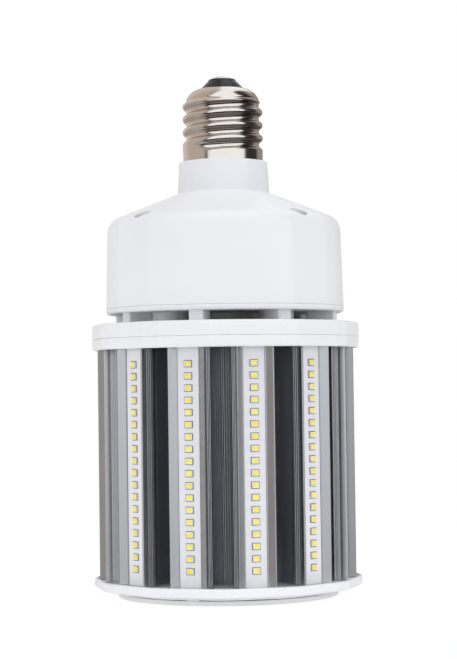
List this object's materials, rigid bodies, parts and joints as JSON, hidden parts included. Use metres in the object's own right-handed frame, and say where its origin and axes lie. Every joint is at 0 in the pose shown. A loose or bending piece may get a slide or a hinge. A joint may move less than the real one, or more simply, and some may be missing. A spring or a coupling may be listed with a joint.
{
  "type": "corn led bulb",
  "caption": "High output corn lamp: upright staves with strips of light emitting diodes round an open air core, a vented ring, a driver drum and a large screw base.",
  "frame": {"origin": "centre of the flat bottom cover on the lamp's axis", "axes": "+Z along the lamp's axis up to the centre contact, -Y the front, between two staves"},
  "size_m": [0.1314, 0.1314, 0.2563],
  "materials": {
    "solder": "soft satin metal",
    "dark_ceramic": "dark gloss",
    "plated_shell": "bright nickel plate",
    "white_plastic": "smooth moulded white",
    "screws": "zinc plated",
    "circuit_board": "solder mask",
    "ferrite": "matt dark",
    "winding_tape": "taped winding",
    "component_black": "sleeved",
    "lead_sleeve": "soft sleeve",
    "stave_aluminium": "extruded, fine lines",
    "strip_white": "white solder mask",
    "diode_package": "yellow phosphor in a white frame"
  },
  "bodies": {
    "root": {"centre_contact": "solder", "base_insulator": "dark_ceramic", "screw_shell": "plated_shell", "driver_housing": "white_plastic", "housing_screws": "screws", "housing_base": "white_plastic", "tie_screws": "screws", "vent_ring": "white_plastic", "top_end_cap": "white_plastic", "top_cap_screws": "screws", "link_board": "circuit_board", "bottom_end_cap": "white_plastic", "bottom_cap_screws": "screws", "bottom_cover": "white_plastic", "cover_screws": "screws", "driver_board": "circuit_board", "driver_board_screws": "screws", "transformer_core": "ferrite", "transformer_coil": "winding_tape", "driver_capacitors": "component_black", "driver_choke": "winding_tape", "supply_leads": "lead_sleeve", "led_leads": "lead_sleeve", "heat_sink_01": "stave_aluminium", "heat_sink_02": "stave_aluminium", "heat_sink_03": "stave_aluminium", "heat_sink_04": "stave_aluminium", "heat_sink_05": "stave_aluminium", "heat_sink_06": "stave_aluminium", "heat_sink_07": "stave_aluminium", "heat_sink_08": "stave_aluminium", "heat_sink_09": "stave_aluminium", "heat_sink_10": "stave_aluminium", "heat_sink_11": "stave_aluminium", "heat_sink_12": "stave_aluminium", "led_board_01": "strip_white", "led_board_02": "strip_white", "led_board_03": "strip_white", "led_board_04": "strip_white", "led_board_05": "strip_white", "led_board_06": "strip_white", "led_board_07": "strip_white", "led_board_08": "strip_white", "led_board_09": "strip_white", "led_board_10": "strip_white", "led_board_11": "strip_white", "led_board_12": "strip_white", "leds_01": "diode_package", "leds_02": "diode_package", "leds_03": "diode_package", "leds_04": "diode_package", "leds_05": "diode_package", "leds_06": "diode_package", "leds_07": "diode_package", "leds_08": "diode_package", "leds_09": "diode_package", "leds_10": "diode_package", "leds_11": "diode_package", "leds_12": "diode_package"}
  },
  "joints": []
}
